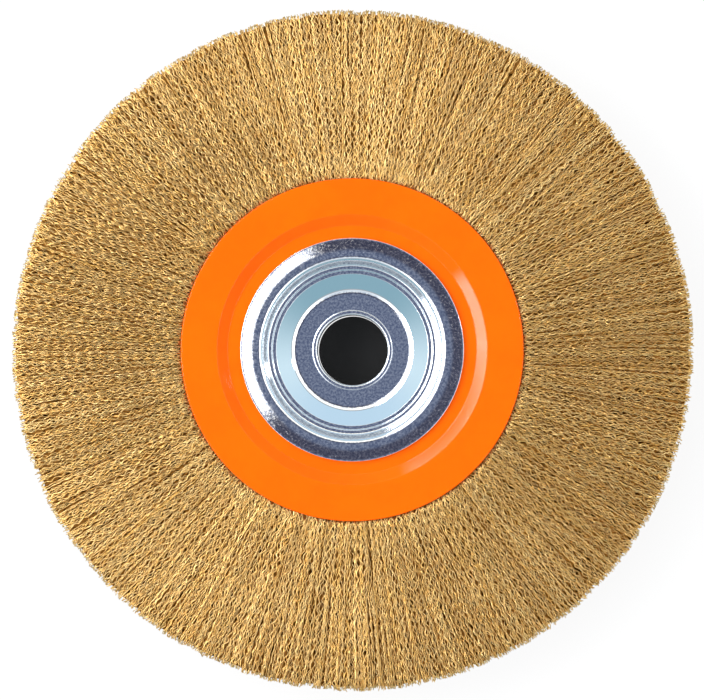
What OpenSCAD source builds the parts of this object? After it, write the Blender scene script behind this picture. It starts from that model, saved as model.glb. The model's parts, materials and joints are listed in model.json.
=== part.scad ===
// Wide-face crimped wire wheel brush.
// The axle runs along Z and the origin is the middle of the wheel.
// Front is +Z. Each rear piece is the mirror image of its front piece.

/* [Wheel] */
// Diameter over the wire tips
wheel_d = 250; // [230:1:280]
// Width over the flat rims of the two face plates
body_w = 27; // [26:0.5:30]
// How far the wire faces lie behind the outer faces of the plates
face_setback = 1; // [0.9:0.1:2]
// Spindle that the wheel is made for
spindle_d = 25.4; // [24:0.1:26]
// Clearance all round between the spindle and the bore
bore_clearance = 0.2; // [0.1:0.05:0.4]

/* [Face plates] */
// Diameter of a face plate
plate_d = 125; // [115:1:140]
// Thickness of the plate sheet
plate_t = 1.5; // [1.2:0.1:1.8]
// How deep the middle of the plate is pressed in
dish_depth = 2.5; // [2:0.1:3]
// Width of the flat ring between the hub's flange and the pressed slope
recess_w = 4.6; // [3.5:0.1:6]
// Width of the pressed slope, measured along the radius
dish_slope_w = 3.9; // [3.5:0.1:4.5]
// Bend radius on the outer face at both ends of the slope
dish_bend_r = 0.9; // [0.5:0.1:1.2]
// Rounding of the plate's outer edge
plate_edge_r = 0.5; // [0.2:0.1:0.7]

/* [Hub cups] */
// Thickness of the cup sheet
cup_t = 1.5; // [1.2:0.1:1.7]
// Diameter of the flange that holds the plate
flange_d = 81.6; // [80:0.2:84]
// Rounding of the flange's outer edge
flange_edge_r = 0.5; // [0.2:0.1:0.8]
// Width of the flat land at the flange's edge, which presses on the plate
flange_land = 1; // [0.8:0.1:1.2]
// Rise of the flange from its edge to its crown
flange_rise = 0.8; // [0.5:0.1:0.9]
// Width of the flange from its edge to the flat crown
flange_slope_w = 4.8; // [4.4:0.1:5.2]
// Bend radius where the land turns up into the sloping flange
flange_bend_r = 2; // [1:0.5:3]
// Width of the flat crown, from the sloping flange to the cup's mouth
crown_w = 2.9; // [2.6:0.1:3.4]
// Bend radius between the sloping flange and the crown
crown_bend_r = 8; // [4:0.5:9]
// Width of the upper wall, measured along the radius
wall_w = 2.25; // [2:0.05:2.6]
// Depth of the upper wall, from crown to ledge
wall_depth = 3.8; // [3.4:0.1:4.2]
// Bend radius at the cup's mouth
mouth_bend_r = 1.5; // [1:0.1:1.7]
// Width of the ledge
ledge_w = 1.5; // [1.2:0.1:1.7]
// Bend radius between the upper wall and the ledge
ledge_bend_r = 1.3; // [0.8:0.1:1.4]
// Height of the fine step below the ledge
step_h = 0.6; // [0.4:0.1:0.8]
// Run of the fine step, measured along the radius
step_run = 0.35; // [0.2:0.05:0.5]
// Width from the ledge's edge to the top of the cone
step_w = 1.65; // [1.4:0.05:2]
// Bend radius at the corners of the fine step
step_bend_r = 0.3; // [0.2:0.05:0.4]
// How much of the width between the step and the rolled lip the cone takes
cone_share = 0.48; // [0.4:0.01:0.56]
// Height of the floor's outer face above the middle of the wheel
floor_z = 4; // [3.5:0.1:4.5]
// Blend radius between cone and floor
floor_blend_r = 3.3; // [2.5:0.1:3.8]
// Bend radius under the ledge, where the underside turns down along the cone
cup_under_bend_r = 1; // [0.6:0.1:1.4]

/* [Arbor sleeve] */
// Wall of the sleeve tube
sleeve_t = 1; // [0.8:0.1:1.2]
// Width of the lip that is rolled over each cup floor
lip_w = 1.9; // [1.7:0.1:2.4]
// Height of the lip over its seat
lip_h = 1; // [0.8:0.1:1.2]
// Rounding of the lip
lip_round_r = 0.8; // [0.5:0.1:0.8]
// Depth of the seat that is pressed into the floor under the lip
lip_seat_depth = 0.3; // [0.1:0.1:0.5]
// Width of the fine gap between the lip and the edge of its seat
lip_gap = 0.25; // [0.1:0.05:0.4]
// Outer diameter of the spacer ring between the cup floors
spacer_d = 40; // [36:0.5:42]

/* [Wire sections] */
// Wall of the core tube
core_t = 1.2; // [1:0.1:1.5]
// Thickness of the channel ring sheet
channel_t = 0.8; // [0.6:0.1:1]
// How far the channel walls reach out from the core tube
channel_depth = 8.5; // [7.5:0.1:9]
// Inside and outside bend radius of a channel ring's sheet
channel_bend_r = 1.2; // [0.9:0.1:1.6]
// Thickness of the layer of wires that is folded round each retaining ring
wire_layer = 0.35; // [0.3:0.05:0.7]
// Tufts seen round a wire face
tufts = 48; // [48:4:72]
// Height of the tufts over the gaps between them
tuft_h = 1.5; // [0.6:0.1:2]
// How unevenly high the tufts stand, as a share of their height
tuft_spread = 0.5; // [0:0.05:0.5]
// Width of the gap between two tufts, from shoulder to shoulder
gap_w = 2.2; // [1.6:0.1:2.6]
// How far the gaps stray from even spacing, as a share of it
gap_shift = 0.5; // [0:0.05:0.5]
// How much of its depth a gap loses on its way in to the plate
gap_fade = 0.5; // [0.2:0.1:0.7]
// How far a wire face falls off at the tips
face_fall = 1; // [0.4:0.1:1.4]
// Sideways weave of the tufts, as a share of their spacing
tuft_weave = 0.02; // [0:0.02:0.2]
// Bends of the crimp that show along each tuft
crimp_rows = 7; // [4:1:8]
// How unevenly the tips are trimmed
tip_uneven = 1.4; // [0.5:0.1:2]

/* [Clearances] */
// Radial clearance between a tube and the ring that sits on it
seat_clearance = 0.1; // [0.05:0.05:0.2]
// Clearance between the wires and the sheet metal or the next section
wire_clearance = 0.3; // [0.2:0.05:0.4]

/* [Hidden] */
$fn = 96;

orange_paint = [1, 0.44, 0.02];
zinc_plate = [0.66, 0.73, 0.8];
plain_steel = [0.5, 0.51, 0.53];
brass_wire = [0.76, 0.58, 0.33];

// How far a cut runs past the faces that it opens
cut_over = 1;
// Steps in which each bend of a pressed sheet is turned
bend_steps = 7;
// Smallest radius left on the inside of a bend
least_bend_r = 0.15;

face_z = body_w / 2;
recess_z = face_z - dish_depth;
bore_r = spindle_d / 2 + bore_clearance;
sleeve_r = bore_r + sleeve_t;
spacer_r = sleeve_r + seat_clearance;
lip_r = bore_r + lip_w;
lip_seat_z = floor_z - lip_seat_depth;

// Face plate, along its outer face from the edge to the hole
slope_in_r = flange_d / 2 + recess_w;
slope_out_r = slope_in_r + dish_slope_w;
plate_path = [[plate_d / 2, face_z],
              [slope_out_r, face_z],
              [slope_in_r, recess_z]];

// Hub cup, along its outer face from the flange to the floor
crown_z = recess_z + cup_t + flange_rise;
ledge_z = crown_z - wall_depth;
foot_z = ledge_z - step_h;
crown_r = flange_d / 2 - flange_slope_w;
mouth_r = crown_r - crown_w;
ledge_out_r = mouth_r - wall_w;
ledge_in_r = ledge_out_r - ledge_w;
cone_r = ledge_in_r - step_w;
floor_r = cone_r - cone_share * (cone_r - lip_r);
cone_slope = (foot_z - floor_z) / (cone_r - floor_r);
cup_top = [[flange_d / 2, recess_z + cup_t],
           [flange_d / 2 - flange_land, recess_z + cup_t],
           [crown_r, crown_z],
           [mouth_r, crown_z],
           [ledge_out_r, ledge_z]];
cup_step = [[ledge_in_r, ledge_z],
            [ledge_in_r - step_run, foot_z],
            [cone_r, foot_z]];
cup_floor = [[floor_r, floor_z],
             [lip_r + lip_gap, floor_z],
             [lip_r + lip_gap, lip_seat_z],
             [spacer_r, lip_seat_z]];
cup_top_radii = [flange_edge_r, flange_bend_r, crown_bend_r, mouth_bend_r, ledge_bend_r];
cup_step_radii = [step_bend_r, step_bend_r, step_bend_r];
cup_floor_radii = [floor_blend_r, 0, 0, 0];
// The underside has neither the fine step nor the seat: its wall turns once, then runs to the floor
cup_under = concat(cup_top, [[cone_r + step_h / cone_slope, ledge_z],
                             [floor_r, floor_z],
                             [spacer_r, floor_z]]);
cup_under_radii = concat(cup_top_radii, [cup_under_bend_r, floor_blend_r, 0]);

// The core tube stands round the undersides of the two cups
cup_under_r = shifted(cup_top, cup_t)[3][0];
core_in_r = cup_under_r + seat_clearance;
core_r = core_in_r + core_t;
core_h = 2 * (recess_z - plate_t);
plate_hole_r = core_in_r;

// Three channel rings share the space between the plates
channel_r = core_r + seat_clearance;
channel_out_r = core_r + channel_depth;
section_pitch = core_h / 3;
channel_w = section_pitch - seat_clearance;

// Each section's wires fill its channel, and its retaining ring lies inside their fold
wire_in_r = channel_r + channel_t + wire_clearance;
wire_half_w = channel_w / 2 - channel_t - wire_clearance;
ring_space_d = 2 * (wire_half_w - wire_layer);
ring_wire_d = ring_space_d - wire_clearance;
ring_r = wire_in_r + wire_layer + ring_space_d / 2;
wire_r = wheel_d / 2;
wire_face_z = face_z - face_setback;
wire_rim_z = wire_face_z - face_fall;
rim_pitch = 2 * wire_rim_z / 3;
// The fill keeps the channel's width for mouth_run past its mouth, and spreads over spread_run
mouth_run = 0.3;
spread_run = 3;
// How far the edges of the rim are rounded back from the tips
rim_round = 0.8;
// Where the tufts start past the plate's edge, and where they end short of the tips
face_start = 1.5;
face_end = 3.5;
wire_under = shifted(plate_path, plate_t + wire_clearance);

// Direction of travel and the direction to its left
function unit(v) = v / norm(v);
function left_of(v) = [-v[1], v[0]];
function backwards(list) = [for (k = [len(list) - 1 : -1 : 0]) list[k]];

// Direction of the run that ends at, or starts from, point k of a path
function run_in(path, k) = unit(k > 0 ? path[k] - path[k - 1] : path[1] - path[0]);
function run_out(path, k) = k < len(path) - 1 ? unit(path[k + 1] - path[k]) : run_in(path, k);

// The path moved to its left by d, with mitred corners
function shifted(path, d) =
    [for (k = [0 : len(path) - 1])
        let (a = left_of(run_in(path, k)),
             b = left_of(run_out(path, k)),
             n = unit(a + b))
        path[k] + n * d / (n * a)];

// Bend radii of the path that is moved to its left by d, with both ends left sharp
function shifted_radii(path, radii, d) =
    [for (k = [0 : len(path) - 1])
        radii[k] == 0 || k == 0 ? 0
            : max(least_bend_r, radii[k] - d * sign(cross(run_in(path, k), run_out(path, k))))];

// One rounded corner between the runs from p to c and from c to q.
// A bend takes up no more than half of the shorter run.
function bend(p, c, q, radius) =
    let (u = unit(p - c),
         v = unit(q - c),
         half = acos(u * v) / 2,
         room = min(norm(p - c), norm(q - c)) / 2,
         r = min(radius, room * tan(half)),
         middle = c + unit(u + v) * r / sin(half),
         first = c + u * r / tan(half) - middle,
         last = c + v * r / tan(half) - middle,
         start = atan2(first[1], first[0]),
         turn = (atan2(last[1], last[0]) - start + 540) % 360 - 180)
    [for (s = [0 : bend_steps])
        middle + r * [cos(start + turn * s / bend_steps), sin(start + turn * s / bend_steps)]];

// The path with each corner rounded to its own radius, where 0 leaves it sharp
function rounded(path, radii) =
    [for (k = [0 : len(path) - 1])
        each radii[k] == 0 ? [path[k]] : bend(path[k - 1], path[k], path[k + 1], radii[k])];

// Cross-section of a sheet that follows one path on its outer face and another inside.
// The first radius rounds the sheet's cut edge on the outer face.
function sheet_between(path, radii, under_path, under_radii) =
    let (under = rounded(under_path, under_radii))
    concat(rounded(concat([under[0]], path), concat([0], radii)),
           [for (k = [len(under) - 1 : -1 : 1]) under[k]]);

// Cross-section of a sheet of thickness t that lies to the left of a path
function sheet(path, radii, t) =
    sheet_between(path, radii, shifted(path, t), shifted_radii(path, radii, t));

// Each tuft takes three columns: the gap before it and its two shoulders.
// The four quarters are alike.
tuft_columns = 3;
columns = tuft_columns * tufts;
quarter = columns / 4;
// Rows of chances: the first of the outer sections, the first of the middle one,
// the one for whole tufts and gaps, and the one for the places of the gaps
outer_salt = 1;
middle_salt = 40;
tuft_salt = 99;
shift_salt = 101;

// Repeatable value from 0 to 1 for a column, from the row of chances with number salt
function chance(i, salt) = rands(0, 1, quarter, salt)[i % quarter];

// Tips at the four ends of the axes keep their full length
function tip_loss(i, salt) = i % quarter == 0 ? 0 : tip_uneven * chance(i, salt);

// Rows of a wire face, from the rim to the plate's edge
face_out_r = wire_r - face_end;
face_in_r = plate_d / 2 + face_start;
function face_row_r(k) = face_out_r + (face_in_r - face_out_r) * k / (crimp_rows - 1);

// The faces fall off toward the tips, and the gaps grow shallower toward the plate
fall_power = 4;
function face_row_z(k) = wire_face_z - face_fall * pow(1 - k / (crimp_rows - 1), fall_power);
function face_row_depth(k) = tuft_h * (1 - gap_fade * k / (crimp_rows - 1));

// Angle of the gap at column g, where the gaps on the axes keep their place
function gap_turn(g) =
    let (stray = g % quarter == 0 ? 0 : gap_shift * (chance(g, shift_salt) - 0.5))
    360 * (g / columns + stray / tufts);

// Angle of column i at radius r. A gap is as wide all along, but narrows under the plate,
// and at the tips the columns of each tuft are spread evenly.
function column_turn(i, r, tips) =
    let (g = i - i % tuft_columns,
         from = gap_turn(g),
         to = gap_turn(g + tuft_columns),
         half = tips ? (to - from) / tuft_columns : gap_w / 2 / max(r, face_in_r) * 180 / PI)
    i == g ? from : i == g + 1 ? from + half : to - half;

// How far a column lies under the highest tufts, where the gaps are depth deep
function tuft_drop(i, depth, salt) =
    let (g = i - i % tuft_columns,
         loss = tuft_spread * (chance(g, tuft_salt) + chance(i, salt)) / 2)
    depth * (i == g ? 1 - loss : loss / 2);

// A point of the fill: column i, radius r, height z, gap depth, weave side, at the tips or not
function wire_point(i, r, z, depth, side, tips, salt) =
    let (turn = column_turn(i, r, tips) + 360 * tuft_weave * side / tufts,
         radius = r - (tips ? tip_loss(i, salt) : 0))
    [radius * cos(turn), radius * sin(turn), z - tuft_drop(i, depth, salt)];

// Cross-section rows of an outer section, from its back round the rim to its front
function outer_section_rows(mid_z) =
    let (back_z = rim_pitch / 2 + wire_clearance / 2)
    concat([[wire_in_r, mid_z - wire_half_w, 0, 0, false],
            [channel_out_r + mouth_run, mid_z - wire_half_w, 0, 0, false],
            [channel_out_r + spread_run, (section_pitch + wire_clearance) / 2, 0, 0, false],
            [wire_r - 2 * rim_round, back_z, 0, 0, true],
            [wire_r, (back_z + wire_rim_z) / 2, 0, 0, true],
            [wire_r - rim_round, wire_rim_z - rim_round, tuft_h / 2, -1, true]],
           [for (k = [0 : crimp_rows - 1])
               [face_row_r(k), face_row_z(k), face_row_depth(k), k % 2 == 0 ? 1 : -1, false]],
           [[plate_d / 2, wire_under[0][1], 0, 0, false],
            [wire_under[1][0], wire_under[1][1], 0, 0, false],
            [wire_under[2][0], wire_under[2][1], 0, 0, false],
            [channel_out_r + mouth_run, mid_z + wire_half_w, 0, 0, false],
            [wire_in_r, mid_z + wire_half_w, 0, 0, false]]);

// Cross-section rows of the middle section, from its back round the rim to its front
function middle_section_rows() =
    let (side = [[wire_in_r, wire_half_w, 0, 0, false],
                 [channel_out_r + mouth_run, wire_half_w, 0, 0, false],
                 [channel_out_r + spread_run, (section_pitch - wire_clearance) / 2, 0, 0, false],
                 [wire_r - 2 * rim_round, (rim_pitch - wire_clearance) / 2, 0, 1, true]])
    concat([for (row = side) [row[0], -row[1], row[2], row[3], row[4]]],
           [[wire_r, 0, 0, -1, true]],
           backwards(side));

// Solid of revolution with a front at +Z from a flat cross-section
module turned(section) {
    rotate_extrude() polygon(section);
}

// Plain tube, centred on the middle of the wheel
module tube(inner_r, outer_r, height) {
    difference() {
        cylinder(r = outer_r, h = height, center = true);
        cylinder(r = inner_r, h = height + 2 * cut_over, center = true);
    }
}

// Copy on the rear side of the wheel
module rear() {
    mirror([0, 0, 1]) children();
}

// Closed ring of tufts from cross-section rows, with every nth column used.
// The salt is the number of its first row of chances.
module wire_ring(rows, salt, every = 1) {
    cols = columns / every;
    n = len(rows);
    points = [for (c = [0 : cols - 1], k = [0 : n - 1])
        let (row = rows[k])
        wire_point(c * every, row[0], row[1], row[2], row[3], row[4], salt + k)];
    faces = [for (c = [0 : cols - 1], k = [0 : n - 1])
        let (a = c * n + k,
             b = c * n + (k + 1) % n,
             d = (c + 1) % cols * n + (k + 1) % n,
             e = (c + 1) % cols * n + k)
        each (c + k) % 2 == 0 ? [[a, b, d], [a, d, e]] : [[a, b, e], [b, d, e]]];
    polyhedron(points = points, faces = faces, convexity = 8);
}

// Space that the folded wires leave for their retaining ring
module ring_space(mid_z) {
    rotate_extrude() translate([ring_r, mid_z]) circle(d = ring_space_d);
}

module face_plate() {
    hole_edge = [plate_hole_r, recess_z];
    turned(sheet(concat(plate_path, [hole_edge]), [plate_edge_r, dish_bend_r, dish_bend_r, 0],
                 plate_t));
}

module hub_cup() {
    turned(sheet_between(concat(cup_top, cup_step, cup_floor),
                         concat(cup_top_radii, cup_step_radii, cup_floor_radii),
                         shifted(cup_under, cup_t),
                         shifted_radii(cup_under, cup_under_radii, cup_t)));
}

module channel_ring(mid_z) {
    path = [[channel_out_r, mid_z + channel_w / 2],
            [channel_r, mid_z + channel_w / 2],
            [channel_r, mid_z - channel_w / 2],
            [channel_out_r, mid_z - channel_w / 2]];
    turned(sheet(path, [0, channel_bend_r, channel_bend_r, 0], channel_t));
}

module retaining_ring(mid_z) {
    rotate_extrude() translate([ring_r, mid_z]) circle(d = ring_wire_d);
}

module outer_wire_section() {
    difference() {
        wire_ring(outer_section_rows(section_pitch), outer_salt);
        ring_space(section_pitch);
    }
}

module front_face_plate() {
    color(orange_paint) face_plate();
}

module rear_face_plate() {
    color(orange_paint) rear() face_plate();
}

module front_hub_cup() {
    color(zinc_plate) hub_cup();
}

module rear_hub_cup() {
    color(zinc_plate) rear() hub_cup();
}

module arbor_sleeve() {
    top_z = lip_seat_z + lip_h;
    half = [[sleeve_r, lip_seat_z],
            [lip_r, lip_seat_z],
            [lip_r, top_z],
            [bore_r, top_z]];
    half_radii = [0, 0, lip_round_r, lip_round_r];
    path = concat(half, [for (p = backwards(half)) [p[0], -p[1]]]);
    color(zinc_plate) turned(rounded(path, concat(half_radii, backwards(half_radii))));
}

module hub_spacer() {
    color(plain_steel) tube(spacer_r, spacer_d / 2, 2 * (floor_z - cup_t));
}

module core_tube() {
    color(plain_steel) tube(core_in_r, core_r, core_h);
}

module front_channel_ring() {
    color(plain_steel) channel_ring(section_pitch);
}

module middle_channel_ring() {
    color(plain_steel) channel_ring(0);
}

module rear_channel_ring() {
    color(plain_steel) rear() channel_ring(section_pitch);
}

module front_retaining_ring() {
    color(plain_steel) retaining_ring(section_pitch);
}

module middle_retaining_ring() {
    color(plain_steel) retaining_ring(0);
}

module rear_retaining_ring() {
    color(plain_steel) rear() retaining_ring(section_pitch);
}

module front_wire_section() {
    color(brass_wire) outer_wire_section();
}

module middle_wire_section() {
    color(brass_wire) difference() {
        wire_ring(middle_section_rows(), middle_salt, 2);
        ring_space(0);
    }
}

module rear_wire_section() {
    color(brass_wire) rear() outer_wire_section();
}

front_face_plate();
rear_face_plate();
front_hub_cup();
rear_hub_cup();
arbor_sleeve();
hub_spacer();
core_tube();
front_channel_ring();
middle_channel_ring();
rear_channel_ring();
front_retaining_ring();
middle_retaining_ring();
rear_retaining_ring();
front_wire_section();
middle_wire_section();
rear_wire_section();
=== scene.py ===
"""Looks of the wide-face crimped wire wheel brush.

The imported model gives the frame. This script turns the pressed sheet metal finely, fills the
wire sections with a mat of tufts, lays crimped wires over both faces and round the rim, gives
every piece its finish, and sets up the floor, the light and the camera.
Sizes are in millimetres and are turned into metres where a mesh is made.
"""
import json
import logging
import math
from dataclasses import dataclass, field
from enum import Enum

import bpy
import numpy as np
from mathutils import Matrix, Vector
from mathutils.bvhtree import BVHTree


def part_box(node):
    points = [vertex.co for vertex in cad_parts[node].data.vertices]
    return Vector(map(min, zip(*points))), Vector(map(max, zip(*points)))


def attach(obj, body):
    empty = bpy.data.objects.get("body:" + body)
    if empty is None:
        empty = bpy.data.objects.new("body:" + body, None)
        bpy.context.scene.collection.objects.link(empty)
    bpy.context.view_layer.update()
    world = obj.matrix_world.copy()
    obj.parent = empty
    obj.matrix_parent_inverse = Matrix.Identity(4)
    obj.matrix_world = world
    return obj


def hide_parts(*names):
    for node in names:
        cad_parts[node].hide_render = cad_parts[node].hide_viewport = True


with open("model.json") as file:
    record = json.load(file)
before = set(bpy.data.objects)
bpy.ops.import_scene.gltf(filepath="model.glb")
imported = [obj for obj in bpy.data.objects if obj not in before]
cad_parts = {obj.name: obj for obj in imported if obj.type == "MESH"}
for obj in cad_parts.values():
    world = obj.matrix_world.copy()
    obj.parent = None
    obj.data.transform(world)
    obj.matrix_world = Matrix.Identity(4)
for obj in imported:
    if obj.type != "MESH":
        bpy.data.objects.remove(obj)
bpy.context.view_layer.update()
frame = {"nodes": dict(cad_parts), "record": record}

MM = 0.001
BODY = "root"
TUBE_SIDES = 3
Socket = bpy.types.NodeSocket
Value = float | tuple | Socket
log = logging.getLogger("wire_wheel_brush")


class Side(Enum):
    """Face of the wheel, as the sign of its height."""

    FRONT = 1
    REAR = -1

    @property
    def word(self) -> str:
        """Word that the names of this side's nodes start with."""
        return self.name.lower()


class Slot(Enum):
    """Material slots of the record."""

    ORANGE = "orange_paint"
    ZINC = "zinc_plate"
    STEEL = "plain_steel"
    BRASS = "brass_wire"


class Lamp(Enum):
    """Soft boxes round the wheel."""

    LEFT = "left_softbox"
    RIGHT = "right_softbox"


def node_reach(node: str) -> tuple[float, float]:
    """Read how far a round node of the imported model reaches.

    Args:
        node: Name of the node.

    Returns:
        Its outer radius, and the greater of its heights over and under the middle plane.
    """
    low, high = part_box(node)
    return high[0] / MM, max(abs(low[2]), abs(high[2])) / MM


PLATE_R, FACE_Z = node_reach("front_face_plate")
WHEEL_R, WIRE_Z = node_reach("front_wire_section")
FULL_TURN = 2 * math.pi


# Outlines of pressed and turned metal


@dataclass(frozen=True)
class Corner:
    """Corner of a section through turned metal: radius, height and bend radius."""

    r: float
    z: float
    bend: float = 0.0

    @property
    def point(self) -> np.ndarray:
        """Place of the corner in the section."""
        return np.array([self.r, self.z])


@dataclass(frozen=True)
class Outline:
    """Section that is turned round the axle, with rounded corners.

    Each long straight run gets a short run at both ends, which keeps flats flat when shaded.
    """

    bend_steps: int = 6
    short_run: float = 0.12
    least_run: float = 0.5

    def bend(self, before: Corner, corner: Corner, after: Corner) -> list[np.ndarray]:
        """Round one corner.

        Args:
            before: The corner before it.
            corner: The corner to round.
            after: The corner after it.

        Returns:
            The points of its arc, or the corner itself where it has no bend.
        """
        if corner.bend <= 0:
            return [corner.point]
        run_in, run_out = before.point - corner.point, after.point - corner.point
        room = min(np.linalg.norm(run_in), np.linalg.norm(run_out)) / 2
        u, v = run_in / np.linalg.norm(run_in), run_out / np.linalg.norm(run_out)
        half = math.acos(np.clip(u @ v, -1, 1)) / 2
        radius = min(corner.bend, room * math.tan(half))
        middle = corner.point + (u + v) / np.linalg.norm(u + v) * radius / math.sin(half)
        first = corner.point + u * radius / math.tan(half) - middle
        last = corner.point + v * radius / math.tan(half) - middle
        start = math.atan2(first[1], first[0])
        turn = (math.atan2(last[1], last[0]) - start + math.pi * 3) % (math.pi * 2) - math.pi
        angles = [start + turn * k / self.bend_steps for k in range(self.bend_steps + 1)]
        return [middle + radius * np.array([math.cos(a), math.sin(a)]) for a in angles]

    def points(self, corners: list[Corner]) -> np.ndarray:
        """Round a closed list of corners.

        Args:
            corners: The corners in order.

        Returns:
            An array of points, each with a radius and a height.
        """
        arcs = [self.bend(corners[k - 1], corners[k], corners[(k + 1) % len(corners)])
                for k in range(len(corners))]
        result = []
        for arc, following in zip(arcs, arcs[1:] + arcs[:1]):
            result.extend(arc)
            gap = following[0] - arc[-1]
            length = np.linalg.norm(gap)
            if length > self.least_run:
                step = gap / length * self.short_run
                result.extend([arc[-1] + step, following[0] - step])
            elif length < 1e-6:
                result.pop()
        return np.array(result)


def shifted(path: list[Corner], distance: float, least_bend: float = 0.15) -> list[Corner]:
    """Shift an open path to the left of its direction, as the other face of a sheet.

    Args:
        path: The corners of the path.
        distance: How far it is shifted.
        least_bend: Smallest bend radius that is left on a corner.

    Returns:
        The shifted corners, with both ends left sharp.
    """
    runs = [(b.point - a.point) / np.linalg.norm(b.point - a.point)
            for a, b in zip(path, path[1:])]
    result = []
    for k, corner in enumerate(path):
        run_in, run_out = runs[max(k - 1, 0)], runs[min(k, len(runs) - 1)]
        left_in = np.array([-run_in[1], run_in[0]])
        left_out = np.array([-run_out[1], run_out[0]])
        mitre = (left_in + left_out) / np.linalg.norm(left_in + left_out)
        place = corner.point + mitre * distance / (mitre @ left_in)
        turn = run_in[0] * run_out[1] - run_in[1] * run_out[0]
        bend = 0.0
        if corner.bend > 0 and k > 0:
            bend = max(least_bend, corner.bend - distance * math.copysign(1, turn))
        result.append(Corner(place[0], place[1], bend))
    return result


# Meshes from arrays


@dataclass
class MeshParts:
    """Points and faces that are gathered before they become one mesh."""

    points: list[np.ndarray] = field(default_factory=list)
    quads: list[np.ndarray] = field(default_factory=list)
    triangles: list[np.ndarray] = field(default_factory=list)
    count: int = 0

    def add(self, points: np.ndarray, quads: np.ndarray | None = None,
            triangles: np.ndarray | None = None) -> None:
        """Add one group of faces.

        Args:
            points: Its points, in millimetres.
            quads: Rows of four indices into its points.
            triangles: Rows of three indices into its points.
        """
        points = points.reshape(-1, 3)
        self.points.append(points)
        if quads is not None:
            self.quads.append(quads.reshape(-1, 4) + self.count)
        if triangles is not None:
            self.triangles.append(triangles.reshape(-1, 3) + self.count)
        self.count += len(points)

    def make(self, name: str, sharp_degrees: float | None = None) -> bpy.types.Object:
        """Make the object, smooth shaded, with its origin at the frame's origin.

        Args:
            name: Name of the object.
            sharp_degrees: Edges that turn more than this stay sharp.

        Returns:
            The new object.
        """
        points = np.concatenate(self.points) * MM
        faces = [(rows, width) for rows, width in ((self.quads, 4), (self.triangles, 3)) if rows]
        corners = np.concatenate([np.concatenate(rows).ravel() for rows, _ in faces])
        widths = np.concatenate([np.full(sum(map(len, rows)), width) for rows, width in faces])
        mesh = bpy.data.meshes.new(name)
        mesh.vertices.add(len(points))
        mesh.vertices.foreach_set("co", points.ravel())
        mesh.loops.add(len(corners))
        mesh.loops.foreach_set("vertex_index", corners.astype(np.int32))
        mesh.polygons.add(len(widths))
        starts = np.concatenate([[0], np.cumsum(widths)[:-1]])
        mesh.polygons.foreach_set("loop_start", starts.astype(np.int32))
        mesh.update(calc_edges=True)
        mesh.validate()
        mesh.shade_smooth()
        if sharp_degrees is not None:
            mesh.set_sharp_from_angle(angle=math.radians(sharp_degrees))
        piece = bpy.data.objects.new(name, mesh)
        bpy.context.scene.collection.objects.link(piece)
        return piece


def ring_of(points: np.ndarray, flip: bool) -> tuple[np.ndarray, np.ndarray]:
    """Join a grid of points into a closed ring of quads.

    Args:
        points: Array of columns by rows by three, both of which close on themselves.
        flip: Whether the faces turn the other way.

    Returns:
        The points and the quads.
    """
    columns, rows = points.shape[:2]
    c, k = np.meshgrid(np.arange(columns), np.arange(rows), indexing="ij")
    after_c, after_k = (c + 1) % columns, (k + 1) % rows
    quads = np.stack([c * rows + k, c * rows + after_k,
                      after_c * rows + after_k, after_c * rows + k], axis=-1)
    return points, quads[..., ::-1] if flip else quads


def turned(outline: np.ndarray, segments: int) -> tuple[np.ndarray, np.ndarray]:
    """Turn a closed outline round the axle.

    Args:
        outline: Points of the outline, each with a radius and a height.
        segments: Number of segments round the axle.

    Returns:
        The points and the quads, facing outwards.
    """
    angles = np.arange(segments) * FULL_TURN / segments
    r, z = outline[:, 0], outline[:, 1]
    points = np.stack([np.outer(np.cos(angles), r), np.outer(np.sin(angles), r),
                       np.tile(z, (segments, 1))], axis=-1)
    area = np.sum(r * np.roll(z, -1) - np.roll(r, -1) * z)
    return ring_of(points, flip=area > 0)


def tubes(lines: np.ndarray, radii: np.ndarray, rolls: np.ndarray) -> MeshParts:
    """Make a closed three-sided tube along each centre line.

    Args:
        lines: Array of wires by points by three.
        radii: Radius of each wire.
        rolls: Turn of each wire's corners, in radians.

    Returns:
        The gathered points, quads and end caps.
    """
    count, length = lines.shape[:2]
    along = np.gradient(lines, axis=1)
    along /= np.linalg.norm(along, axis=2, keepdims=True)
    side = np.cross(along, [0.0, 0.0, 1.0])
    side /= np.linalg.norm(side, axis=2, keepdims=True) + 1e-9
    over = np.cross(side, along)
    corners = []
    for number in range(TUBE_SIDES):
        angle = (rolls + number * FULL_TURN / TUBE_SIDES)[:, None, None]
        corners.append(lines + radii[:, None, None] * (np.cos(angle) * side + np.sin(angle) * over))
    points = np.stack(corners, axis=2)
    wire, ring, corner = np.meshgrid(np.arange(count), np.arange(length - 1),
                                     np.arange(TUBE_SIDES), indexing="ij")
    base = (wire * length + ring) * TUBE_SIDES
    after, following = base + TUBE_SIDES, (corner + 1) % TUBE_SIDES
    quads = np.stack([base + corner, after + corner, after + following, base + following], axis=-1)
    first = np.arange(count)[:, None] * length * TUBE_SIDES + np.arange(TUBE_SIDES)
    last = first[:, ::-1] + (length - 1) * TUBE_SIDES
    parts = MeshParts()
    parts.add(points, quads, np.concatenate([first, last]))
    return parts


def triangles_in(piece: bpy.types.Object) -> int:
    """Count the triangles of a piece."""
    return sum(len(polygon.vertices) - 2 for polygon in piece.data.polygons)


def dress(piece: bpy.types.Object, material: bpy.types.Material,
          replaced: tuple[str, ...] = ()) -> None:
    """Give a piece its finish and its body, hide the nodes that it stands for, and log its
    triangles.

    Args:
        piece: The piece.
        material: Its finish.
        replaced: The nodes that it stands for.
    """
    piece.data.materials.append(material)
    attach(piece, BODY)
    if replaced:
        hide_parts(*replaced)
    log.info("%s: %d triangles", piece.name, triangles_in(piece))


# Shader tools


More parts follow.
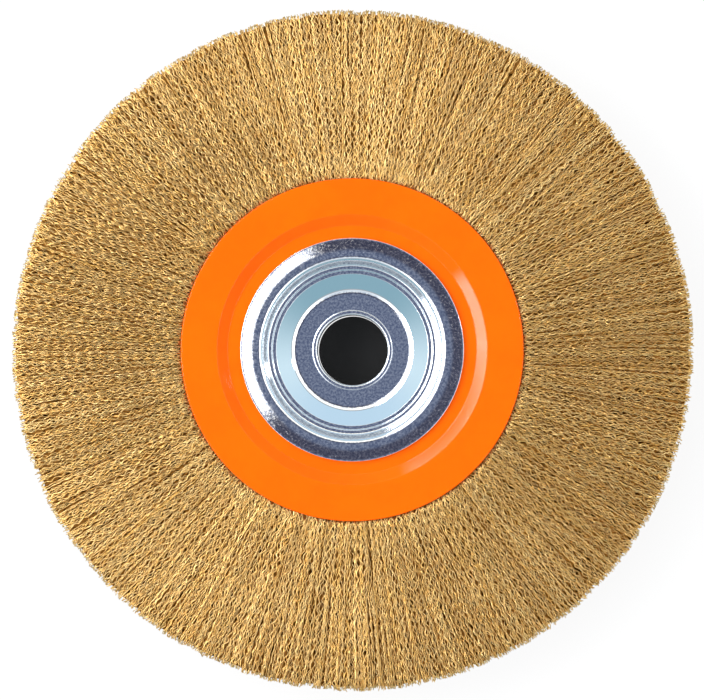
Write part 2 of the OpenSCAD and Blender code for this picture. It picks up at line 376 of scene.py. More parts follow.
class Shading:
    """Node tree of a material, a group or the world, with short ways to add and join nodes."""

    def __init__(self, tree: bpy.types.NodeTree) -> None:
        """Start from an empty tree.

        Args:
            tree: The tree to fill.
        """
        self.tree = tree
        tree.nodes.clear()

    def add(self, kind: str, values: dict[str | int, Value] | None = None,
            **settings: object) -> bpy.types.Node:
        """Add one node.

        Args:
            kind: Its type.
            values: Values or sockets for its inputs, by name or number.
            **settings: Its properties.

        Returns:
            The node.
        """
        node = self.tree.nodes.new(kind)
        for name, value in settings.items():
            setattr(node, name, value)
        for name, value in (values or {}).items():
            if isinstance(value, Socket):
                self.tree.links.new(value, node.inputs[name])
            else:
                node.inputs[name].default_value = value
        return node

    def math(self, operation: str, *values: Value) -> Socket:
        """Add a math node and return its value."""
        return self.add("ShaderNodeMath", dict(enumerate(values)), operation=operation).outputs[0]

    def object_place(self) -> Socket:
        """Return the place on the object, in metres."""
        return self.add("ShaderNodeTexCoord").outputs["Object"]

    def split(self, vector: Socket) -> tuple[Socket, Socket, Socket]:
        """Return the three parts of a vector."""
        return tuple(self.add("ShaderNodeSeparateXYZ", {0: vector}).outputs[:3])

    def from_axle(self, x: Socket, y: Socket) -> Socket:
        """Return the distance from the axle."""
        squares = self.math("ADD", self.math("MULTIPLY", x, x), self.math("MULTIPLY", y, y))
        return self.math("SQRT", squares)

    def noise(self, place: Socket, scale: Value, detail: float = 2.0, roughness: float = 0.5,
              distortion: float = 0.0) -> Socket:
        """Add a noise texture.

        Args:
            place: Place that it is read at.
            scale: How fine it is.
            detail: Number of finer layers.
            roughness: Strength of the finer layers.
            distortion: How far it is stirred.

        Returns:
            Its value, about 0.5 on average.
        """
        return self.add("ShaderNodeTexNoise", {"Vector": place, "Scale": scale, "Detail": detail,
                                               "Roughness": roughness,
                                               "Distortion": distortion}).outputs["Fac"]

    def span(self, value: Socket, low: Value, high: Value, to_low: float = 0.0,
             to_high: float = 1.0) -> Socket:
        """Map one range of a value smoothly onto another.

        Args:
            value: The value.
            low: Where the range starts.
            high: Where it ends.
            to_low: Result at the start.
            to_high: Result at the end.

        Returns:
            The result.
        """
        return self.add("ShaderNodeMapRange",
                        {"Value": value, "From Min": low, "From Max": high,
                         "To Min": to_low, "To Max": to_high},
                        interpolation_type="SMOOTHSTEP").outputs["Result"]

    def mix(self, share: Value, first: Value, second: Value) -> Socket:
        """Mix two colours by the second one's share and return the result."""
        colours = {0: share, 6: first, 7: second}
        return self.add("ShaderNodeMix", colours, data_type="RGBA").outputs[2]

    def group(self, tree: bpy.types.NodeTree, **values: float) -> dict[str, Socket]:
        """Place a node group.

        Args:
            tree: The group.
            **values: Its inputs.

        Returns:
            Its outputs by name.
        """
        return dict(self.add("ShaderNodeGroup", values, node_tree=tree).outputs.items())


def rgb(red: float, green: float, blue: float) -> tuple[float, float, float, float]:
    """Colour with full alpha, in linear light."""
    return red, green, blue, 1.0


def new_group(name: str, inputs: dict[str, float],
              outputs: list[str]) -> tuple[Shading, dict[str, Socket], dict[str, Socket]]:
    """Start a shader node group of values.

    Args:
        name: Name of the group.
        inputs: Its inputs and their defaults.
        outputs: Its outputs.

    Returns:
        Its shading, its input sockets by name, and its output sockets by name.
    """
    group = bpy.data.node_groups.new(name, "ShaderNodeTree")
    for label, value in inputs.items():
        socket = group.interface.new_socket(label, in_out="INPUT", socket_type="NodeSocketFloat")
        socket.default_value = value
    for label in outputs:
        group.interface.new_socket(label, in_out="OUTPUT", socket_type="NodeSocketFloat")
    shading = Shading(group)
    entry = shading.add("NodeGroupInput")
    leave = shading.add("NodeGroupOutput")
    return shading, {k: entry.outputs[k] for k in inputs}, {k: leave.inputs[k] for k in outputs}


@dataclass(frozen=True)
class Effects:
    """Node groups that more than one finish uses."""

    mottle: bpy.types.NodeTree
    scratches: bpy.types.NodeTree

    @classmethod
    def build(cls) -> "Effects":
        """Build each group once."""
        return cls(cls._mottle(), cls._scratches())

    @staticmethod
    def _mottle() -> bpy.types.NodeTree:
        """Make soft patches with finer ones inside them.

        Returns:
            The group.
        """
        s, given, result = new_group("surface_mottle", {"Scale": 60.0}, ["Mask"])
        place = s.object_place()
        coarse = s.noise(place, given["Scale"], 3.0, 0.6, 0.4)
        fine = s.noise(place, s.math("MULTIPLY", given["Scale"], 7.3), 2.0)
        blend = s.math("ADD", s.math("MULTIPLY", coarse, 0.7), s.math("MULTIPLY", fine, 0.3))
        s.tree.links.new(s.span(blend, 0.35, 0.65), result["Mask"])
        return s.tree

    @staticmethod
    def _scratches() -> bpy.types.NodeTree:
        """Make fine straight scratches that run three ways, and small specks.

        Returns:
            The group.
        """
        s, given, result = new_group("fine_scratches", {"Scale": 300.0, "Amount": 0.5},
                                     ["Scratches", "Specks"])
        place = s.object_place()
        low = s.math("SUBTRACT", 0.78, s.math("MULTIPLY", given["Amount"], 0.1))
        high = s.math("ADD", low, 0.05)
        ways = []
        for turn, start in ((0.4, 1.7), (1.5, 5.1), (2.5, 9.4)):
            turned_place = s.add("ShaderNodeMapping", {"Vector": place, "Rotation": (0, 0, turn),
                                                       "Location": (start, 0, 0)}).outputs[0]
            long_place = s.add("ShaderNodeMapping", {"Vector": turned_place,
                                                     "Scale": (0.05, 1.0, 1.0)}).outputs[0]
            ways.append(s.span(s.noise(long_place, given["Scale"], 1.0, 0.5, 0.1), low, high))
        lines = s.math("MAXIMUM", s.math("MAXIMUM", ways[0], ways[1]), ways[2])
        s.tree.links.new(lines, result["Scratches"])
        specks = s.noise(place, s.math("MULTIPLY", given["Scale"], 6.0), 1.0)
        s.tree.links.new(s.span(specks, low, high), result["Specks"])
        return s.tree


def new_material(name: str) -> tuple[bpy.types.Material, Shading]:
    """Start a material.

    Args:
        name: Name of the material.

    Returns:
        The material and its shading.
    """
    material = bpy.data.materials.new(name)
    material.use_nodes = True
    return material, Shading(material.node_tree)


def finish_material(material: bpy.types.Material, s: Shading, inputs: dict[str, Value],
                    height: Socket, depth: float) -> bpy.types.Material:
    """Close a material with its Principled shader and a bump.

    Args:
        material: The material.
        s: Its shading.
        inputs: Values and sockets of the shader.
        height: Height that the bump follows.
        depth: Depth of the bump, in metres.

    Returns:
        The material.
    """
    bump = s.add("ShaderNodeBump", {"Strength": 1.0, "Distance": depth, "Height": height})
    shader = s.add("ShaderNodeBsdfPrincipled", {**inputs, "Normal": bump.outputs[0]})
    s.add("ShaderNodeOutputMaterial", {"Surface": shader.outputs[0]})
    return material


@dataclass(frozen=True)
class OrangeEnamel:
    """Gloss stoved enamel on the face plates, slightly uneven."""

    colour: tuple = rgb(0.93, 0.126, 0.0005)
    deep_colour: tuple = rgb(0.9, 0.114, 0.0005)
    patches: float = 45.0
    roughness: float = 0.55
    specular: float = 0.0
    coat: float = 0.36
    coat_roughness: float = 0.03
    peel_scale: float = 700.0
    peel_depth: float = 0.00001

    def make(self, effects: Effects) -> bpy.types.Material:
        """Build the material.

        Args:
            effects: The shared node groups.

        Returns:
            The material.
        """
        material, s = new_material("orange_enamel")
        mottle = s.group(effects.mottle, Scale=self.patches)
        peel = s.noise(s.object_place(), self.peel_scale)
        return finish_material(material, s, {
            "Base Color": s.mix(mottle["Mask"], self.deep_colour, self.colour),
            "Roughness": self.roughness,
            "Specular IOR Level": self.specular,
            "Coat Weight": self.coat,
            "Coat Roughness": self.coat_roughness,
        }, peel, self.peel_depth)


@dataclass(frozen=True)
class BlueZinc:
    """Bright blue zinc plating, mottled, with fine handling scratches and specks.

    The grain is on the flat faces, which are the handled ones.
    """

    pale: tuple = rgb(0.85, 0.89, 0.93)
    dark: tuple = rgb(0.45, 0.5, 0.62)
    bright: tuple = rgb(1.0, 1.0, 1.0)
    patches: float = 420.0
    grain: float = 1250.0
    scratch_scale: float = 3600.0
    scratch_amount: float = 0.1
    smooth: float = 0.075
    dull: float = 0.2
    flat_range: tuple[float, float] = (0.9, 0.97)
    depth: float = 0.000022

    def make(self, effects: Effects) -> bpy.types.Material:
        """Build the material.

        Args:
            effects: The shared node groups.

        Returns:
            The material.
        """
        material, s = new_material("blue_zinc")
        place = s.object_place()
        upright = s.split(s.add("ShaderNodeNewGeometry").outputs["Normal"])[2]
        flat = s.span(s.math("ABSOLUTE", upright), *self.flat_range)
        mottle = s.group(effects.mottle, Scale=self.patches)
        marks = s.group(effects.scratches, Scale=self.scratch_scale, Amount=self.scratch_amount)
        marked = s.math("MAXIMUM", marks["Scratches"], marks["Specks"])
        grain = s.noise(place, self.grain, 3.0, 0.65)
        dull = s.math("MULTIPLY", s.span(grain, 0.48, 0.72), flat)
        dull = s.math("MULTIPLY", dull, s.span(mottle["Mask"], 0.0, 1.0, 1.0, 0.45))
        grained = s.mix(s.span(grain, 0.36, 0.64), self.dark, self.bright)
        return finish_material(material, s, {
            "Base Color": s.mix(flat, self.pale, grained),
            "Metallic": 1.0,
            "Roughness": s.span(s.math("MAXIMUM", dull, s.math("MULTIPLY", marked, 0.6)),
                                0.0, 1.0, self.smooth, self.dull),
        }, s.math("MULTIPLY", grain, flat), self.depth)


@dataclass(frozen=True)
class PlainSteel:
    """Oiled bare steel of the inner rings and tubes."""

    pale: tuple = rgb(0.42, 0.43, 0.45)
    dark: tuple = rgb(0.26, 0.26, 0.28)
    patches: float = 150.0
    scratch_scale: float = 500.0
    roughness: float = 0.38
    depth: float = 0.00001

    def make(self, effects: Effects) -> bpy.types.Material:
        """Build the material.

        Args:
            effects: The shared node groups.

        Returns:
            The material.
        """
        material, s = new_material("bare_steel")
        mottle = s.group(effects.mottle, Scale=self.patches)
        marks = s.group(effects.scratches, Scale=self.scratch_scale)
        return finish_material(material, s, {
            "Base Color": s.mix(mottle["Mask"], self.dark, self.pale),
            "Metallic": 1.0,
            "Roughness": self.roughness,
        }, marks["Scratches"], self.depth)


@dataclass(frozen=True)
class BrassWire:
    """Brass-coated steel wire, which differs a little from wire to wire."""

    pale: tuple = rgb(0.96, 0.71, 0.33)
    deep: tuple = rgb(0.8, 0.48, 0.13)
    edge: tuple = rgb(1.0, 0.8, 0.55)
    metal: float = 0.95
    specular: float = 0.3
    roughness: float = 0.31
    patches: float = 260.0
    drawn_scale: float = 2500.0
    depth: float = 0.000008

    def make(self, effects: Effects) -> bpy.types.Material:
        """Build the material.

        Args:
            effects: The shared node groups.

        Returns:
            The material.
        """
        material, s = new_material("brass_coating")
        mottle = s.group(effects.mottle, Scale=self.patches)
        each = s.add("ShaderNodeNewGeometry").outputs["Random Per Island"]
        share = s.math("ADD", s.math("MULTIPLY", each, 0.6), s.math("MULTIPLY", mottle["Mask"], 0.4))
        return finish_material(material, s, {
            "Base Color": s.mix(share, self.deep, self.pale),
            "Metallic": self.metal,
            "Specular IOR Level": self.specular,
            "Specular Tint": self.edge,
            "Roughness": self.roughness,
        }, s.noise(s.object_place(), self.drawn_scale), self.depth)


@dataclass(frozen=True)
class WireFillWithPaintedShade:
    """The depth of the fill behind the outermost wires: crimped strands with dark gaps, coloured
    with painted shade: brass darkened for the depth, darkest in the gaps.
    """

    # pale and dark are painted shade: brass darkened for the depth of the fill, darker still in the
    # gaps.
    pale: tuple = rgb(0.34, 0.16, 0.035)
    dark: tuple = rgb(0.03, 0.011, 0.002)
    roughness: float = 0.5
    around: float = 230.0
    along: float = 2400.0
    crimp: float = 1500.0
    sway: float = 0.004
    painted_shade_range: tuple[float, float] = (0.52, 0.38)
    depth: float = 0.0004

    def strands(self, s: Shading) -> Socket:
        """Lay crimped strands that run out from the axle.

        Args:
            s: Shading of the material.

        Returns:
            Their height, which is low in the gaps.
        """
        place = s.object_place()
        x, y, z = s.split(place)
        out = s.from_axle(x, y)
        phase = s.math("MULTIPLY", s.noise(place, 90.0, 1.0), 30.0)
        wave = s.math("SINE", s.math("ADD", s.math("MULTIPLY", out, self.crimp), phase))
        turn = s.math("ADD", s.math("ARCTAN2", y, x), s.math("MULTIPLY", wave, self.sway))
        strand_place = s.add("ShaderNodeCombineXYZ",
                             {0: s.math("MULTIPLY", turn, self.around),
                              1: s.math("MULTIPLY", out, self.along * 0.1),
                              2: s.math("MULTIPLY", z, self.along)}).outputs[0]
        return s.noise(strand_place, 1.0, 2.0, 0.6)

    def make(self) -> bpy.types.Material:
        """Build the material.

        Returns:
            The material.
        """
        material, s = new_material("wire_fill")
        height = self.strands(s)
        # Painted shade: the base colour goes from pale to dark down into the gaps between strands.
        return finish_material(material, s, {
            "Base Color": s.mix(s.span(height, *self.painted_shade_range), self.pale, self.dark),
            "Specular IOR Level": 0.0,
            "Roughness": self.roughness,
        }, height, self.depth)


@dataclass(frozen=True)
class Finishes:
    """Every finish of the wheel, made once."""

    orange: bpy.types.Material
    zinc: bpy.types.Material
    steel: bpy.types.Material
    brass: bpy.types.Material
    fill: bpy.types.Material

    @classmethod
    def build(cls) -> "Finishes":
        """Make the shared effects and the materials.

        Returns:
            The finishes.
        """
        effects = Effects.build()
        return cls(OrangeEnamel().make(effects), BlueZinc().make(effects),
                   PlainSteel().make(effects), BrassWire().make(effects), WireFillWithPaintedShade().make())


def bore_radius() -> float:
    """Read the radius of the bore from the record's mounts."""
    return next(m["dims"]["r_mm"] for m in frame["record"]["mounts"] if m["name"] == "bore")


def turned_piece(name: str, corners: list[Corner], side: Side, segments: int,
                 sharp_degrees: float = 30) -> bpy.types.Object:
    """Turn one piece of metal.

    Args:
        name: Name of the piece.
        corners: Corners of its section, as on the front.
        side: The side that it is on.
        segments: Number of segments round the axle.
        sharp_degrees: Edges that turn more than this stay sharp.

    Returns:
        The piece.
    """
    outline = Outline().points(corners) * np.array([1, side.value])
    parts = MeshParts()
    parts.add(*turned(outline, segments))
    return parts.make(name, sharp_degrees)


@dataclass
class FacePlate:
    """Dished face plate, pressed from sheet and painted."""

    side: Side
    sheet: float = 1.5
    dish_depth: float = 2.5
    recess_w: float = 4.6
    slope_w: float = 3.9
    slope_bend: float = 0.9
    edge_round: float = 0.5
    segments: int = 192

    def corners(self) -> list[Corner]:
        """Lay out its section, as on the front.

        Returns:
            The corners in order.
        """
        slope_r = node_reach("front_hub_cup")[0] + self.recess_w
        hole_r = node_reach("core_tube")[0] - CoreRings.core_t
        recess_z = FACE_Z - self.dish_depth
        outer = [Corner(PLATE_R, FACE_Z, self.edge_round),
                 Corner(slope_r + self.slope_w, FACE_Z, self.slope_bend),
                 Corner(slope_r, recess_z, self.slope_bend),
                 Corner(hole_r, recess_z)]
        return outer + shifted(outer, self.sheet)[::-1]

    def build(self) -> bpy.types.Object:
        """Turn the plate."""
        return turned_piece(f"{self.side.word}_plate", self.corners(), self.side, self.segments)

    def dress(self, piece: bpy.types.Object, finishes: Finishes) -> None:
        """Paint the plate."""
        dress(piece, finishes.orange, (f"{self.side.word}_face_plate",))


@dataclass
class HubCup:
    """Stepped hub cup, pressed from sheet and zinc plated."""

    side: Side
    sheet: float = 1.5
    edge_round: float = 0.5
    land: float = 0.5
    land_bend: float = 2.0
    rise: float = 0.8
    slope_w: float = 4.8
    crown_bend: float = 14.0
    crown_w: float = 2.9
    mouth_bend: float = 2.5
    wall_w: float = 2.1
    wall_depth: float = 3.8
    ledge_bend: float = 1.3
    ledge_w: float = 1.5
    step_h: float = 0.6
    step_run: float = 0.35
    step_w: float = 1.65
    step_bend: float = 0.3
    cone_share: float = 0.48
    floor_z: float = 4.0
    floor_bend: float = 4.3
    under_bend: float = 1.0
    seat_depth: float = 0.3
    seat_gap: float = 0.25
    segments: int = 192

    def corners(self) -> list[Corner]:
        """Lay out its section, as on the front.

        Returns:
            The corners in order.
        """
        flange_r, crown_z = node_reach("front_hub_cup")
        lip_r, _ = node_reach("arbor_sleeve")
        hole_r = bore_radius() + ArborSleeve.sheet + CoreRings.seat_clearance
        land_z = crown_z - self.rise
        crown_r = flange_r - self.slope_w
        mouth_r = crown_r - self.crown_w
        ledge_r, ledge_z = mouth_r - self.wall_w, crown_z - self.wall_depth
        step_r, foot_z = ledge_r - self.ledge_w, ledge_z - self.step_h
        cone_r = step_r - self.step_w
        floor_r = cone_r - self.cone_share * (cone_r - lip_r)
        seat_r, seat_z = lip_r + self.seat_gap, self.floor_z - self.seat_depth
        top = [Corner(flange_r, land_z, self.edge_round),
               Corner(flange_r - self.land, land_z, self.land_bend),
               Corner(crown_r, crown_z, self.crown_bend),
               Corner(mouth_r, crown_z, self.mouth_bend),
               Corner(ledge_r, ledge_z, self.ledge_bend)]
        step = [Corner(step_r, ledge_z, self.step_bend),
                Corner(step_r - self.step_run, foot_z, self.step_bend),
                Corner(cone_r, foot_z, self.step_bend)]
        bottom = [Corner(floor_r, self.floor_z, self.floor_bend),
                  Corner(seat_r, self.floor_z),
                  Corner(seat_r, seat_z),
                  Corner(hole_r, seat_z)]
        cone_slope = (foot_z - self.floor_z) / (cone_r - floor_r)
        under = top + [Corner(cone_r + self.step_h / cone_slope, ledge_z, self.under_bend),
                       Corner(floor_r, self.floor_z, self.floor_bend),
                       Corner(hole_r, self.floor_z)]
        return top + step + bottom + shifted(under, self.sheet)[::-1]

    def build(self) -> bpy.types.Object:
        """Turn the cup."""
        return turned_piece(f"{self.side.word}_cup", self.corners(), self.side, self.segments)

    def dress(self, piece: bpy.types.Object, finishes: Finishes) -> None:
        """Plate the cup."""
        dress(piece, finishes.zinc, (f"{self.side.word}_hub_cup",))


@dataclass
class ArborSleeve:
    """Sleeve that is rolled over both cup floors."""

    sheet: float = 1.0
    lip_h: float = 1.0
    lip_round: float = 0.8
    segments: int = 160

    def corners(self) -> list[Corner]:
        """Lay out its section, front and rear.

        Returns:
            The corners in order.
        """
        lip_r, top_z = node_reach("arbor_sleeve")
        bore_r = bore_radius()
        seat_z = top_z - self.lip_h
        half = [Corner(bore_r + self.sheet, seat_z),
                Corner(lip_r, seat_z),
                Corner(lip_r, top_z, self.lip_round),
                Corner(bore_r, top_z, self.lip_round)]
        return half + [Corner(c.r, -c.z, c.bend) for c in reversed(half)]

    def build(self) -> bpy.types.Object:
        """Turn the sleeve."""
        return turned_piece("rolled_sleeve", self.corners(), Side.FRONT, self.segments)

    def dress(self, piece: bpy.types.Object, finishes: Finishes) -> None:
        """Plate the sleeve."""
        dress(piece, finishes.zinc, ("arbor_sleeve",))


@dataclass
class CoreRings:
    """The inner rings and tubes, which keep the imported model's own shapes."""

    core_t: float = 1.2
    seat_clearance: float = 0.1
    names: tuple[str, ...] = ("hub_spacer", "core_tube",
                              "front_channel_ring", "middle_channel_ring", "rear_channel_ring",
                              "front_retaining_ring", "middle_retaining_ring",
                              "rear_retaining_ring")

    def dress(self, finishes: Finishes) -> None:
        """Give each its steel.

        Args:
            finishes: The finishes.
        """
        for name in self.names:
            mesh = frame["nodes"][name].data
            mesh.materials.clear()
            mesh.materials.append(finishes.steel)
            log.info("%s: packed model's own mesh", name)


@dataclass
class SolidFace:
    """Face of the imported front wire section, read as heights over angle and radius.

    The wires and the fill follow it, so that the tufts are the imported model's own.
    """

    turns: int = 1440
    rings: int = 120
    plate_run: float = 1.0
    edge_run: float = 3.0
    fall: float = 0.2

    def __post_init__(self) -> None:
        """Read the heights."""
        node = frame["nodes"]["front_wire_section"]
        points = [node.matrix_world @ vertex.co for vertex in node.data.vertices]
        tree = BVHTree.FromPolygons(points, [tuple(p.vertices) for p in node.data.polygons])
        above, down = Vector((0, 0, FACE_Z * 2 * MM)), Vector((0, 0, -1))
        self.radii = np.linspace(PLATE_R - self.plate_run, WHEEL_R - self.edge_run, self.rings)
        self.heights = np.zeros((self.turns, self.rings))
        for i, angle in enumerate(np.arange(self.turns) * FULL_TURN / self.turns):
            outward = Vector((math.cos(angle), math.sin(angle), 0)) * MM
            for k, radius in enumerate(self.radii):
                self.heights[i, k] = tree.ray_cast(outward * radius + above, down)[0].z / MM

    def height(self, r: np.ndarray, turn: np.ndarray) -> np.ndarray:
        """Find the height of the face, with a fall past its last ring.

        Args:
            r: Radii.
            turn: Angles of the same shape.

        Returns:
            An array of the same shape.
        """
        column = (turn / FULL_TURN * self.turns) % self.turns
        low = np.floor(column).astype(int)
        share = column - low
        row = np.clip((r - self.radii[0]) / (self.radii[-1] - self.radii[0]), 0, 1)
        row = row * (self.rings - 1)
        under = np.minimum(np.floor(row).astype(int), self.rings - 2)
        along = row - under
        near, far = low % self.turns, (low + 1) % self.turns
        first = self.heights[near, under] * (1 - share) + self.heights[far, under] * share
        second = self.heights[near, under + 1] * (1 - share) + self.heights[far, under + 1] * share
        past = np.maximum(r - self.radii[-1], 0)
        return first * (1 - along) + second * along - self.fall * past


@dataclass
class RaggedRim:
    """How far the tips stand back from the wheel's full radius, by their angle."""

    nodes: int = 400
    clumps: int = 100
    node_most: float = 1.3
    clump_most: float = 0.6
    stray_share: float = 0.1
    least_gap: float = 0.17
    seed: int = 51

    def __post_init__(self) -> None:
        """Draw the steps: fine ones on coarse ones."""
        rng = np.random.default_rng(self.seed)
        clumps = self.clump_most * rng.random(self.clumps) ** 2
        coarse = np.interp(np.arange(self.nodes) * self.clumps / self.nodes,
                           np.arange(self.clumps), clumps, period=self.clumps)
        self.steps = coarse + self.node_most * rng.random(self.nodes) ** 2

    def retreat(self, turn: np.ndarray) -> np.ndarray:
        """How far the tips stand back at each angle."""
        turns = np.arange(self.nodes) * FULL_TURN / self.nodes
        return np.interp(turn, turns, self.steps, period=FULL_TURN)

    def ends(self, rng: np.random.Generator, ends: np.ndarray, turn: np.ndarray) -> np.ndarray:
        """Shorten wires to the ragged rim, but for a few stray ones.

        Args:
            rng: Source of chance.
            ends: Radius at which each wire ends.
            turn: Angle of each wire.

        Returns:
            The new radii.
        """
        stray = rng.random(len(ends)) < self.stray_share
        most = WHEEL_R - self.retreat(turn) - self.least_gap
        return np.where(stray, ends, np.minimum(ends, most))


@dataclass(frozen=True)
class Row:
    """Row of points round the fill: radius, height, and whether it is tufted or ragged."""

    r: float
    z: float
    tufted: bool = False
    ragged: bool = False


@dataclass
class FillSection:
    """Depth of one wire section: a closed ring of tufts round its retaining ring."""

    word: str
    face: SolidFace
    rim: RaggedRim
    columns: int = 480
    face_rows: int = 24
    cover: float = 1.15
    tip_length: float = 1.0
    tip_uneven: float = 0.5
    channel_sheet: float = 0.8
    clearance: float = 0.3
    mouth_run: float = 0.3
    spread_run: float = 3.0
    rim_round: float = 1.2
    roughness: float = 0.16
    cavity_sides: int = 10
    cavity_segments: int = 96
    sharp_degrees: float = 60
    seed: int = 11

    def hidden_rows(self) -> tuple[list[Row], list[Row]]:
        """Lay out the rows inside the channel ring.

        Returns:
            The rows under and over its middle.
        """
        low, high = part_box(f"{self.word}_channel_ring")
        middle, half = (low[2] + high[2]) / 2 / MM, (high[2] - low[2]) / 2 / MM
        wall = self.channel_sheet + self.clearance
        inner_r = node_reach("core_tube")[0] + CoreRings.seat_clearance + wall
        rows = [Row(inner_r, middle - half + wall),
                Row(high[0] / MM + self.mouth_run, middle - half + wall)]
        return rows, [Row(row.r, 2 * middle - row.z) for row in reversed(rows)]

    def outer_rows(self) -> list[Row]:
        """Lay out the rows of an outer section, as on the front.

        Returns:
            The rows in order.
        """
        under, over = self.hidden_rows()
        tip_r = WHEEL_R - self.tip_length
        rim_z = WIRE_Z - self.cover
        third = rim_z / 3
        section = abs(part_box("front_channel_ring")[0][2]) / MM
        plate = shifted(FacePlate(Side.FRONT).corners()[:3], FacePlate.sheet + self.clearance)
        side = [Row(under[1].r + self.spread_run, section + self.clearance / 2),
                Row(tip_r - self.rim_round, third + self.clearance / 2, ragged=True),
                Row(tip_r, third + self.rim_round, ragged=True),
                Row(tip_r, rim_z - 2 * self.rim_round, ragged=True)]
        radii = np.linspace(tip_r - self.rim_round, PLATE_R + self.rim_round, self.face_rows)
        face = [Row(r, 0.0, tufted=True) for r in radii]
        return under + side + face + [Row(corner.r, corner.z) for corner in plate] + over

    def middle_rows(self) -> list[Row]:
        """Lay out the rows of the middle section.

        Returns:
            The rows in order.
        """
        under, over = self.hidden_rows()
        tip_r = node_reach("middle_wire_section")[0] - self.tip_length
        third = (WIRE_Z - self.cover) / 3 - self.clearance / 2
        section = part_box("front_channel_ring")[0][2] / MM - self.clearance / 2
        side = [Row(under[1].r + self.spread_run, section),
                Row(tip_r - self.rim_round, third, ragged=True),
                Row(tip_r, third - self.rim_round, ragged=True)]
        mirrored = [Row(row.r, -row.z, ragged=row.ragged) for row in side]
        return under + mirrored + side[::-1] + over

    def build(self) -> bpy.types.Object:
        """Make the ring and its round inner space.

        Returns:
            The piece.
        """
        rng = np.random.default_rng(self.seed)
        rows = self.middle_rows() if self.word == "middle" else self.outer_rows()
        values = np.array([(row.r, row.z, row.tufted, row.ragged) for row in rows], float)
        turn = np.arange(self.columns)[:, None] * FULL_TURN / self.columns
        r, z, tufted, ragged = (values[None, :, k] for k in range(4))
        shape = (self.columns, len(rows))
        face = self.face.height(np.broadcast_to(r, shape), np.broadcast_to(turn, shape))
        z = np.where(tufted > 0, face - self.cover - self.roughness * rng.random(shape), z)
        uneven = self.tip_length * self.tip_uneven * rng.random(shape)
        r = r - ragged * (self.rim.retreat(turn) + uneven)
        flip = self.word == "rear"
        z = -z if flip else z
        points = np.stack([r * np.cos(turn), r * np.sin(turn), z], axis=-1)
        parts = MeshParts()
        parts.add(*ring_of(points, flip=not flip))
        parts.add(*self.cavity())
        return parts.make(f"{self.word}_fill", self.sharp_degrees)

    def cavity(self) -> tuple[np.ndarray, np.ndarray]:
        """Make the round space for the retaining ring.

        Returns:
            The points and the quads, facing inwards.
        """
        low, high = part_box(f"{self.word}_retaining_ring")
        wire_r = (high[2] - low[2]) / 2 / MM
        centre_r, centre_z = high[0] / MM - wire_r, (low[2] + high[2]) / 2 / MM
        turn = np.arange(self.cavity_sides) * FULL_TURN / self.cavity_sides
        space_r = wire_r + self.clearance / 2
        circle = np.stack([centre_r + space_r * np.cos(turn), centre_z + space_r * np.sin(turn)], 1)
        points, quads = turned(circle, self.cavity_segments)
        return points, quads[..., ::-1]

    def dress(self, piece: bpy.types.Object, finishes: Finishes) -> None:
        """Give the ring its wire finish, brass darkened with painted shade."""
        dress(piece, finishes.fill, (f"{self.word}_wire_section",))


